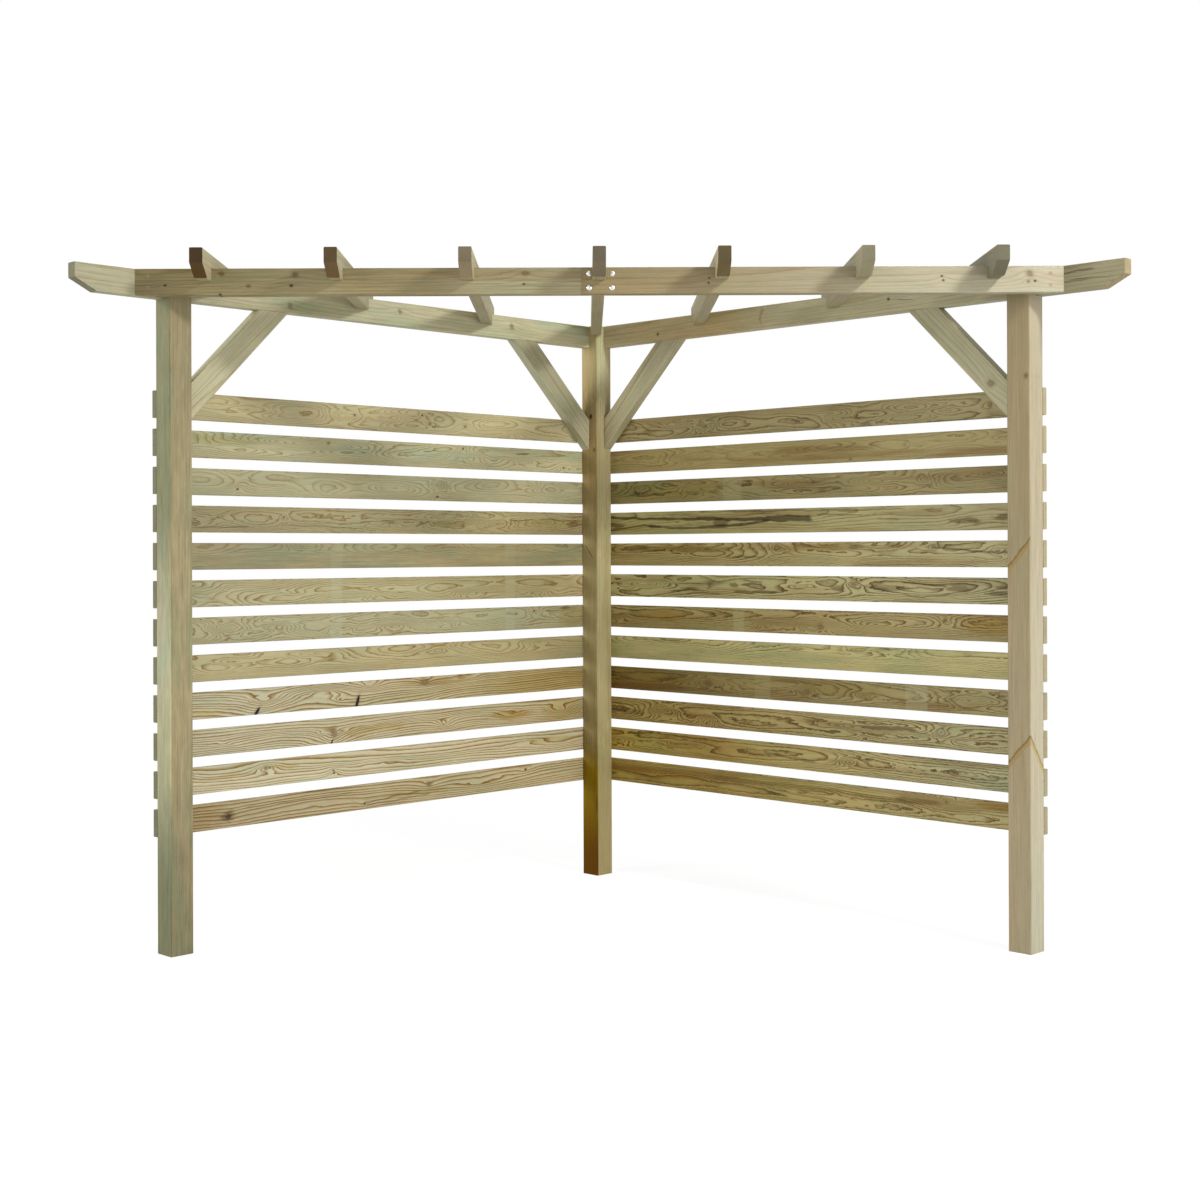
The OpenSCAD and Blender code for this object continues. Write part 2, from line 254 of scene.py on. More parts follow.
# Kinds of knot. Sizes count from the knot's own radius
knotKinds = {
    # stretch along the board, how far it bends the rings along and across, how high it lifts them in mm,
    # the colours of its rim and its core, and how fully they show
    "eye": {"stretch": 1.2, "reach": (9.0, 3.6), "lift": 20, "rim": (0.11, 0.066, 0.024),
            "core": (0.19, 0.125, 0.05), "show": 0.65},
    "brown": {"stretch": 1.5, "reach": (9.0, 3.8), "lift": 15, "rim": (0.12, 0.064, 0.022),
              "core": (0.24, 0.150, 0.06), "show": 0.85},
    "dark": {"stretch": 1.3, "reach": (12.0, 6.0), "lift": 10, "rim": (0.03, 0.018, 0.010),
             "core": (0.06, 0.038, 0.020), "show": 0.9},
    "slit": {"stretch": 1.6, "reach": (16.0, 6.0), "lift": 22, "rim": (0.008, 0.006, 0.005),
             "core": (0.01, 0.008, 0.006), "show": 1.0, "slim": 0.42},
    "soft": {"stretch": 1.2, "reach": (8.0, 4.0), "lift": 14, "rim": (0.17, 0.140, 0.06),
             "core": (0.12, 0.092, 0.04), "show": 0.6},
    "pale": {"stretch": 1.3, "reach": (7.0, 3.4), "lift": 20, "rim": (0.28, 0.280, 0.16),
             "core": (0.34, 0.330, 0.22), "show": 0.6, "hole": (0.06, 0.04, 0.02)},
}

# What the wood was soaked in and how the sun took it, and the hues of painted light and shade: shares of red,
# green and blue that it leaves
stainAndLightHues = {
    "plain": (1, 1, 1),
    "olive": (1, 1.06, 1.13),
    "moss": (1, 1.04, 0.82),
    "warm": (1, 0.97, 0.89),
    "honey": (1, 0.93, 0.72),
    "amber": (1, 0.86, 0.50),
    "fern": (1, 1.05, 0.97),
    "grey": (1, 1.03, 1.22),
    "rosy": (1, 0.98, 1.12),
    "tan": (1, 0.90, 0.76),
    "resin": (1, 0.84, 0.35),
    # ochre and mustard only tint the painted shade at the foot of the corner post's face towards the shelter
    "mustard": (1, 0.78, 0.05),
    "ochre": (1, 0.50, 0.0),
}

# What all the pine has in common, before a board's own settings
pineSettings = {
    "near": (1, "plain"),               # brightness and stain at the end that x counts from
    "far": (1, "plain"),                # and at the other end
    "shelterFaceLightAndShade": [],                  # painted light and shade: place, brightness and stain, up the face towards the shelter
    "outerFaceLightAndShade": [],                    # and painted light and shade up the face that looks away from the corner post
    "gloss": 0.28,                      # how much of the light a planed face mirrors
    "roughness": 0.62,
    "roughSpread": 0.3,                 # how much that differs from fibre to fibre
    "relief": 0.0006,                   # metres that the grain stands up
    "pale": (0.42, 0.37, 0.205),        # the wood that grows in spring
    "dark": (0.72, 0.60, 0.43),         # what the wood that grows in summer leaves of it
    "edge": (0.50, 0.37, 0.22),         # and the sharp outer line of a ring
    "green": (0.31, 0.33, 0.20),        # patches where the treatment shows
    "brown": (0.33, 0.25, 0.12),        # patches of heartwood
    "ring": 2.5,                        # mm from ring to ring
    "band": 0.42,                       # share of a ring where the summer wood starts
    "strength": 1.0,                    # how strongly the summer wood shows
    "pith": (8.0, -34.0),               # mm across and through, from the board's middle
    "taper": 0.008,
    "wander": 44.0,                     # mm that the rings wander along the board
    "waves": (320.0, 140.0),            # length and width of that wandering
    "jag": 0.8,                         # mm of unevenness in a ring's line
    "greenness": 0.35,
    "brownness": 0.25,
    "fibres": 0.58,                     # how much light and dark fibres differ
    "streaks": 0.30,
    "mottle": 0.08,
    "end": (0.150, 0.108, 0.055),       # the sawn ends, and their rings
    "endRing": (0.062, 0.038, 0.018),
    "underCutPaintedLight": 1,                      # painted light: how much brighter a sawn end is painted where it faces down
    "loose": 0,                         # how many swells of the grain come by chance
    "swells": [],                       # at, up, length, width, lift in mm
    "knots": [],                        # kind, at, up, radius, degrees of lean
    "knotLift": 1.0,                    # how strongly the knots bend the rings
    "blots": [],                        # at, up, half length, half width, how fully they show
    "ribbons": [],                      # from, to, up at both, half width, how fully they show
    "washes": [],                       # at, up, half length, half width, brightness and stain; on the corner post, painted light
    "marks": [],                        # at, width of a pale band where a batten lay
    "cracks": [],                       # at, up, length, width, degrees of lean
    "spikes": [],                       # at, slope across, slope through, half width, only on the shelter's face
}

# The noises that the pine is drawn with: size along, across and through in mm, detail and roughness
pineNoises = {
    "ripple": ((26, 7, 7), 2, 0.55),
    "bend": ((64, 22, 22), 1, 0.5),
    "patch": ((120, 22, 22), 2, 0.5),
    "fibre": ((34, 0.75, 0.75), 3, 0.6),
    "streak": ((160, 4.5, 4.5), 2, 0.5),
    "cloud": ((300, 60, 60), 2, 0.5),
    "heart": ((380, 34, 34), 2, 0.5),
    "spots": ((70, 14, 14), 3, 0.6),
}
bend = (44, 14, 0)                      # mm that the bend noise moves swells and patches
apart = (37, 11, 23)                    # mm between two boards' noises, times their seeds
seeds = 90                              # the seeds lie between 0 and this

# How the colour runs through one growth ring, from 0 where it starts in spring to 1
ringShape = {
    "drift": 1.2,                       # how many rings the spacing drifts by
    "driftPace": 0.3,                   # and how quickly, in steps of its noise for each ring
    "fullSummer": 0.88,                 # where the summer wood is darkest
    "line": (0.78, 0.92),               # where the outer line starts and is full
    "close": (0.995, 0.95),             # where both give way to the next ring
    "uneven": 0.45,                     # how much one ring differs from the next
    "patchy": 0.4,                      # and a ring along its length
}

# Swells that come by chance, in mm
looseSwells = {"room": 30, "up": (-30, 30), "length": (50, 140), "width": (10, 20), "lift": (5, 12)}

# What lies over the grain: shares of the wood's own colour, then colours that cover it
blotShare = (0.34, 0.27, 0.17)
ribbonShare = (0.20, 0.15, 0.09)
haloShare = (0.5, 0.42, 0.32)
battenColour = (0.42, 0.41, 0.25)
spikeColour = (0.37, 0.28, 0.10)
spikeRim = (0.20, 0.135, 0.04)
crackColour = (0.022, 0.015, 0.009)


def stainAndLightTint(tone, stain):
    return [tone * share for share in stainAndLightHues[stain]]


def cover(name, material):
    for slot in nodes[name].material_slots:
        slot.material = material


class Board:
    # One timber's pine: its places in its own mm, from its middle, and the noises that its figures share.
    # x runs along it, y across it and z through it
    def __init__(self, name, way, mirrored, fromOrigin, wood):
        self.finish = Finish(name + "Pine")
        self.wood = wood
        self.findPlace(name, way, mirrored, fromOrigin)
        self.chance = random.Random(name)
        self.seed = self.chance.random() * seeds
        self.drawn = self.place + tuple(self.seed * part for part in apart)
        self.ripple = self.noise("ripple")
        self.fibre = self.noise("fibre")
        self.cloud = self.noise("cloud")
        self.spots = self.noise("spots")
        self.bent = self.place + (self.noise("bend", "Color") - 0.5) * bend
        self.shelterSide = self.place.dot((0, 0, 1)).step(self.low.z + 4, self.low.z + 1)
        self.outerSide = self.place.dot((0, 1, 0)).step(self.high.y - 4, self.high.y - 1)

    def findPlace(self, name, way, mirrored, fromOrigin):
        # fromOrigin counts x from the pergola's origin instead of the middle
        along, across = lies[way]
        turn = Matrix((along, across, along.cross(across)))
        flip = Vector((-1 if mirrored else 1, 1, 1))
        places = [turn @ (vertex.co * flip) for vertex in nodes[name].data.vertices]
        low = Vector([min(place[i] for place in places) for i in range(3)])
        high = Vector([max(place[i] for place in places) for i in range(3)])
        middle = (low + high) / 2
        if fromOrigin:
            middle.x = 0
        inMm = 1000
        self.place = self.finish.add("Mapping", {"vector_type": "POINT"}, {
            "Vector": self.finish.add("TexCoord", {}, {}, "Object"),
            "Location": -middle * inMm,
            "Rotation": turn.to_euler("XYZ"),
            "Scale": flip * inMm,
        })
        self.x = self.place.dot((1, 0, 0))
        self.low, self.high = (low - middle) * inMm, (high - middle) * inMm
        self.along = along * flip

    def noise(self, kind, out="Fac"):
        size, detail, rough = pineNoises[kind]
        return self.finish.noise(self.drawn / size, detail, rough, out)

    def farFrom(self, place, at, across, long, wide, lean=0, least=0):
        # least in the middle of an oval that runs right through the board, and about 1 at its edge
        through = 1e4
        return self.finish.add("Mapping", {"vector_type": "TEXTURE"}, {
            "Vector": place,
            "Location": (at, across, least * through),
            "Rotation": (0, 0, math.radians(lean)),
            "Scale": (long, wide, through),
        }).length()


def findSwells(board):
    # The board's own swells, some by chance where there is room, and one round each knot
    swells = list(board.wood["swells"])
    uniform = board.chance.uniform
    for _ in range(board.wood["loose"]):
        at = uniform(board.low.x, board.high.x)
        if all(abs(at - other[0]) > other[2] + looseSwells["room"] for other in swells):
            sizes = [uniform(*looseSwells[part]) for part in ("up", "length", "width")]
            swells.append((at, *sizes, board.chance.choice((-1, 1)) * uniform(*looseSwells["lift"])))
    for kind, at, across, radius, *_ in board.wood["knots"]:
        long, wide = knotKinds[kind]["reach"]
        lift = knotKinds[kind]["lift"] * board.wood["knotLift"]
        swells.append((at, across, radius * long, radius * wide, lift))
    return swells


def growRings(board):
    # Where the summer wood is, where the outer lines of the rings are, and how strongly both show
    finish, wood = board.finish, board.wood
    long, wide = wood["waves"]
    wander = finish.noise(board.drawn / (long, wide, wide), 1, 0.5, "Color") - 0.5
    fromPith = (board.place + wander * wood["wander"] - Vector((0, *wood["pith"]))) * (0, 1, 1)
    radius = fromPith.length() + board.place.dot((wood["taper"], 0, 0)) + (board.ripple - 0.5) * (2 * wood["jag"])
    for at, across, length, width, lift in findSwells(board):
        radius = radius + lift * 0.37 ** board.farFrom(board.bent, at, across, length * 0.6, width * 0.6, 0, 0.25)
    count = radius / wood["ring"]
    drift = finish.add("TexNoise", {"noise_dimensions": "1D"},
                       {"W": count * ringShape["driftPace"] + board.seed, "Scale": 1, "Detail": 0})
    count = count + ringShape["drift"] * drift
    share = count.fraction()
    weight = finish.add("TexWhiteNoise", {"noise_dimensions": "1D"}, {"W": count.whole() + board.seed}, "Value")
    patch = board.noise("patch").step(0.30, 0.66)
    closing = share.step(*ringShape["close"])
    summer = share.step(wood["band"], ringShape["fullSummer"]) * closing
    line = share.step(*ringShape["line"]) * closing
    uneven, patchy = ringShape["uneven"], ringShape["patchy"]
    return summer, line, (1 - uneven + uneven * weight) * (1 - patchy + patchy * patch) * wood["strength"]


def colourWood(board, summer, line, shown):
    # Spring wood with green and brown patches, darkened ring by ring, and its fibres and streaks
    finish, wood = board.finish, board.wood
    colour = finish.mix(board.cloud.step(0.42, 0.66) * wood["greenness"], wood["pale"], wood["green"])
    colour = finish.mix(board.noise("heart").step(0.48, 0.66) * wood["brownness"], colour, wood["brown"])
    grain = finish.mix(summer * shown, (1, 1, 1), wood["dark"])
    grain = finish.mix(line * shown, grain, wood["edge"])
    texture = ((board.fibre - 0.5) * wood["fibres"] + (board.noise("streak") - 0.5) * wood["streaks"]
               + (board.spots - 0.5) * wood["mottle"] + 1)
    return colour * grain * texture


def addPatches(board, colour):
    # Batten marks, blots, ribbons of dark wood, washes of stain and, on the corner post, washes of painted light,
    # all with uneven edges
    finish, wood, uneven = board.finish, board.wood, board.ripple - 0.5
    for at, wide in wood["marks"]:
        bar = abs(board.x - at + uneven * 6)
        colour = finish.mix(bar.step(wide / 2 + 4, wide / 2 - 4) * 0.35, colour, battenColour)
    for at, across, long, wide, fullness in wood["blots"]:
        blot = board.farFrom(board.bent, at, across, long, wide) + uneven * 1.3
        colour = finish.mix(blot.step(1.15, 0.6) * fullness, colour, colour * blotShare)
    for start, end, upFrom, upTo, wide, fullness in wood["ribbons"]:
        slope = (upTo - upFrom) / (end - start)
        off = abs(board.bent.dot((-slope, 1, 0)) - (upFrom - slope * start)) + (board.spots - 0.5) * (wide * 1.3)
        x = board.bent.dot((1, 0, 0))
        length = x.step(start - 14, start + 6) * x.step(end + 14, end - 6)
        colour = finish.mix(off.step(wide * 1.3, wide * 0.9) * length * fullness, colour, colour * ribbonShare)
    for at, across, long, wide, tone, stain in wood["washes"]:
        wash = board.farFrom(board.bent, at, across, long, wide) + uneven * 0.8
        colour = colour * finish.mix(wash.step(1.3, 0.6), (1, 1, 1), stainAndLightTint(tone, stain))
    return colour


def addKnots(board, colour):
    # A knot has turns of its own, a dark rim and a halo in the wood around it
    finish = board.finish
    for kind, at, across, radius, *lean in board.wood["knots"]:
        knot = knotKinds[kind]
        long, wide = radius * knot["stretch"], radius * knot.get("slim", 1)
        body = board.farFrom(board.place, at, across, long, wide, *lean) + (board.ripple - 0.5) * 0.6
        turns = (body * 3.1).fraction().step(0.45, 0.9) * 0.5
        core = finish.mix(turns + body.step(0.55, 1.0) * 0.5, knot["core"], knot["rim"])
        colour = finish.mix(body.step(2.2, 0.9) * 0.35, colour, colour * haloShare)
        colour = finish.mix(body.step(1.15, 0.75) * knot["show"], colour, core)
        if "hole" in knot:
            colour = finish.mix(body.step(0.28, 0.14), colour, knot["hole"])
    return colour


def addCracks(board, colour):
    # Spikes of sapwood that run round a post, with a darker rim, and drying cracks
    finish = board.finish
    for at, slopeAcross, slopeThrough, wide, oneFace in board.wood["spikes"]:
        side = board.shelterSide if oneFace else 1
        off = board.place.dot((1, slopeAcross, slopeThrough)) - at + (board.ripple - 0.5) * 13
        off = off / wide
        colour = finish.mix(abs(off).step(1.2, 0.8) * side * 0.85, colour, spikeColour)
        colour = finish.mix(off.step(0.1, 0.7) * off.step(1.4, 1.0) * side * 0.75, colour, spikeRim)
    for at, across, long, thick, lean in board.wood["cracks"]:
        place = board.place + (board.ripple - 0.5) * (0, 2.2, 0)
        gap = board.farFrom(place, at, across, long, thick, lean)
        colour = finish.mix(gap.step(1.0, 0.6) * 0.9, colour, crackColour)
    return colour


def addStainsAndFaceLight(board, colour):
    # The stain from end to end, on some timbers with painted light and shade, and the painted light and shade up
    # each face that has its own
    finish, wood = board.finish, board.wood
    ends = board.x.step(board.low.x, board.high.x)
    colour = colour * finish.mix(ends, stainAndLightTint(*wood["near"]), stainAndLightTint(*wood["far"]))
    # each face's stops paint light and shade on that face only
    for side, stops in ((board.shelterSide, wood["shelterFaceLightAndShade"]), (board.outerSide, wood["outerFaceLightAndShade"])):
        if stops:
            start, *first = stops[0]
            face = stainAndLightTint(*first)
            for end, *following in stops[1:]:
                face = finish.mix(board.x.step(start, end), face, stainAndLightTint(*following))
                start = end
            colour = colour * finish.mix(side, (1, 1, 1), face)
    return colour


def addEnds(board, colour, summer):
    # The sawn ends are darker, and their rings show as arcs. Where a cut faces down it is painted brighter, as
    # painted light
    finish, wood = board.finish, board.wood
    normal = finish.add("TexCoord", {}, {}, "Normal")
    cut = abs(normal.dot(board.along)).step(0.22, 0.42)
    under = normal.dot((0, 0, -1)).step(0.3, 0.6)
    endGrain = finish.mix(summer * 0.7, wood["end"], wood["endRing"]) * (0.75 + 0.5 * board.cloud)
    return finish.mix(cut, colour, endGrain * (1 + under * (wood["underCutPaintedLight"] - 1)))


def makePine(name, way, mirrored=False, fromOrigin=False, **own):
    wood = {**pineSettings, **own}
    board = Board(name, way, mirrored, fromOrigin, wood)
    summer, line, shown = growRings(board)
    colour = colourWood(board, summer, line, shown)
    for layer in (addPatches, addKnots, addCracks, addStainsAndFaceLight):
        colour = layer(board, colour)
    colour = addEnds(board, colour, summer)
    height = summer * shown * 0.5 + board.fibre * 0.35 + board.ripple * 0.15
    board.finish.set(Base_Color=colour, Roughness=wood["roughness"] + (board.fibre - 0.5) * wood["roughSpread"],
                     Specular_IOR_Level=wood["gloss"], Normal=board.finish.bump(height, wood["relief"]))
    cover(name, board.finish.material)


# Slats, counted from the lowest. Places count from the slat's middle, towards the front post and up
leftWood = {"end": (0.17, 0.165, 0.095), "endRing": (0.1, 0.095, 0.05), "strength": 1.2}
# the lowest four have bolder rings
lowWood = {**leftWood, "pale": (0.46, 0.41, 0.265), "dark": (0.66, 0.47, 0.25), "edge": (0.40, 0.22, 0.07),
           "strength": 1.6, "brownness": 0.15, "wander": 20, "band": 0.34}
leftSlats = {
    1: {**lowWood, "near": (1.2, "warm"), "far": (1.02, "warm"), "ring": 7.5, "wander": 14, "pith": (-110, -60),
        "swells": [(-330, -6, 300, 26, 24), (330, 4, 260, 20, -14)],
        "knots": [("dark", 629, -5, 7), ("brown", -106, 16, 7, 12), ("dark", 146, -19, 3),
                  ("dark", -520, 23, 4)],
        "ribbons": [(-60, 150, -3, -19, 2.6, 0.5), (-110, 130, -15, -27, 2.2, 0.4),
                    (200, 560, 16, 14, 1.6, 0.3)],
        "washes": [(629, -5, 30, 16, 0.55, "tan"), (-40, -6, 160, 8, 0.85, "honey"),
                   (740, 0, 100, 40, 0.85, "tan")]},
    2: {**lowWood, "near": (1.3, "plain"), "far": (1.40, "olive"), "ring": 6.0, "loose": 2,
        "pith": (60, -50), "swells": [(-542, 10, 190, 20, 18), (60, -4, 240, 18, 14), (-660, 4, 140, 22, -16)],
        "knots": [("eye", 502, 14, 6), ("dark", 488, 15, 2.5), ("brown", 760, 12, 8), ("dark", 259, -21, 3),
                  ("dark", 262, -13, 2.5)],
        "washes": [(640, 4, 110, 7, 0.85, "tan"), (440, 14, 60, 7, 0.88, "honey"),
                   (-640, 6, 120, 12, 0.9, "honey")]},
    3: {**lowWood, "near": (1.18, "warm"), "far": (1.26, "olive"), "loose": 2, "ring": 4.6, "pith": (-60, -44),
        "swells": [(-684, 2, 110, 30, 34), (-447, -3, 120, 20, 22), (640, -10, 200, 22, 12)],
        "knots": [("eye", 259, -5, 12, 60), ("slit", 268, -34, 6, 120), ("slit", -166, -10, 2.5)],
        "washes": [(170, -8, 60, 16, 0.82, "honey"), (60, -2, 70, 12, 0.88, "honey"),
                   (-460, 0, 90, 14, 0.8, "amber"),
                   (-690, 0, 90, 40, 0.92, "honey")]},
    4: {**lowWood, "near": (1.08, "honey"), "far": (1.24, "olive"), "loose": 2, "ring": 5.2, "pith": (-56, -40),
        "swells": [(300, 12, 150, 22, -26), (130, 24, 90, 20, 26), (-251, 24, 160, 20, 20),
                   (500, 4, 90, 30, 30)],
        "knots": [("slit", 534, -33, 12, 124), ("slit", 172, -25, 14, 108), ("brown", -91, 22, 9),
                  ("dark", 235, -12, 2.5)],
        "washes": [(-620, -6, 260, 40, 0.9, "honey"), (-130, 22, 130, 12, 0.85, "tan"),
                   (700, -20, 60, 9, 1.0, "honey")]},
    5: {"near": (1.11, "warm"), "far": (1.22, "plain"), "loose": 3, "pith": (22, -34),
        "swells": [(620, 18, 120, 16, 16), (357, 24, 150, 18, 20), (-150, 12, 110, 14, 12),
                   (-560, 22, 120, 18, 18)]},
    6: {"near": (1.12, "olive"), "far": (1.05, "olive"), "jag": 1.3, "strength": 1.15,
        "swells": [(620, 4, 90, 30, 34), (455, 4, 110, 26, 24), (230, -6, 90, 20, 22), (25, -8, 130, 24, 24),
                   (-200, -6, 200, 30, 26)],
        "knots": [("dark", -561, 23, 3)], "blots": [(-699, 29, 26, 5, 0.6)], "marks": [(248, 42), (-454, 42)],
        "washes": [(-740, 0, 70, 40, 0.85, "honey")]},
    7: {"near": (1.25, "warm"), "far": (1.09, "olive"), "strength": 1.2, "pith": (4, -34),
        "swells": [(790, 20, 300, 44, 40), (421, 0, 70, 14, 10), (140, -18, 160, 16, 14),
                   (-281, -16, 150, 16, 16),
                   (-560, -18, 110, 16, 16)],
        "marks": [(248, 42), (-454, 42)]},
    8: {"near": (1.03, "warm"), "far": (0.83, "plain"), "strength": 0.7, "loose": 2, "streaks": 0.6,
        "mottle": 0.35,
        "pith": (30, -34), "greenness": 0.7, "swells": [(382, 30, 80, 14, 16)],
        "marks": [(248, 42), (-454, 46)]},
    9: {"near": (1.07, "warm"), "far": (0.87, "plain"), "jag": 1.9, "loose": 1, "strength": 1.2,
        "swells": [(37, -4, 90, 16, 12), (-340, -2, 160, 18, 22), (-613, 5, 100, 20, -14)],
        "knots": [("brown", -79, -3, 4), ("dark", 438, 9, 2)],
        "ribbons": [(-560, -470, 13, 9, 1.6, 0.7), (-800, -600, 9, 12, 1.8, 0.5), (40, 70, -2, -2, 4, 0.4),
                    (-110, -60, 2, -12, 1.6, 0.6), (200, 420, -20, -14, 1.5, 0.4),
                    (560, 790, -20, -22, 1.5, 0.45)],
        "blots": [(-742, -4, 40, 8, 0.6)], "washes": [(-190, -6, 90, 10, 0.8, "honey"),
                                                      (-640, 0, 160, 16, 0.95, "honey")]},
    10: {"near": (1.11, "olive"), "far": (1.03, "olive"), "loose": 3, "strength": 0.8,
         "swells": [(-157, 13, 80, 24, 24), (-550, 19, 60, 14, 14), (-702, 24, 70, 14, 14)],
         "knots": [("dark", 595, -18, 3), ("dark", -145, -25, 3.5)],
         "blots": [(-172, 10, 30, 14, 0.2)]},
    11: {"near": (1.28, "olive"), "far": (1.08, "olive"), "greenness": 0.8, "pith": (14, -34), "strength": 1.15,
         "swells": [(330, 16, 330, 20, 42), (-245, 3, 120, 20, 16), (-518, -5, 150, 16, 16),
                    (-745, -12, 60, 18, 14)],
         "knots": [("brown", 276, 22, 4), ("dark", -253, 26, 3), ("dark", -700, -21, 3)],
         "washes": [(640, 16, 150, 14, 0.95, "honey"), (-620, 22, 200, 12, 0.95, "warm")]},
    12: {"near": (1.30, "plain"), "far": (1.18, "plain"), "loose": 1, "strength": 0.85,
         "swells": [(20, 4, 150, 20, 24), (225, -2, 60, 24, 24), (-456, -24, 90, 10, 12),
                    (560, 0, 160, 14, 14)],
         "knots": [("dark", 179, 6, 3), ("dark", -85, 19, 3), ("soft", -115, -6, 5), ("soft", -262, -8, 5)]},
}
rightWood = {"pale": (0.36, 0.305, 0.145), "green": (0.245, 0.25, 0.12), "brown": (0.24, 0.165, 0.06),
             "dark": (0.50, 0.40, 0.27), "edge": (0.25, 0.185, 0.105), "end": (0.36, 0.31, 0.19),
             "endRing": (0.25, 0.2, 0.1), "brownness": 0.6, "jag": 1.3, "ring": 3.0, "band": 0.38}
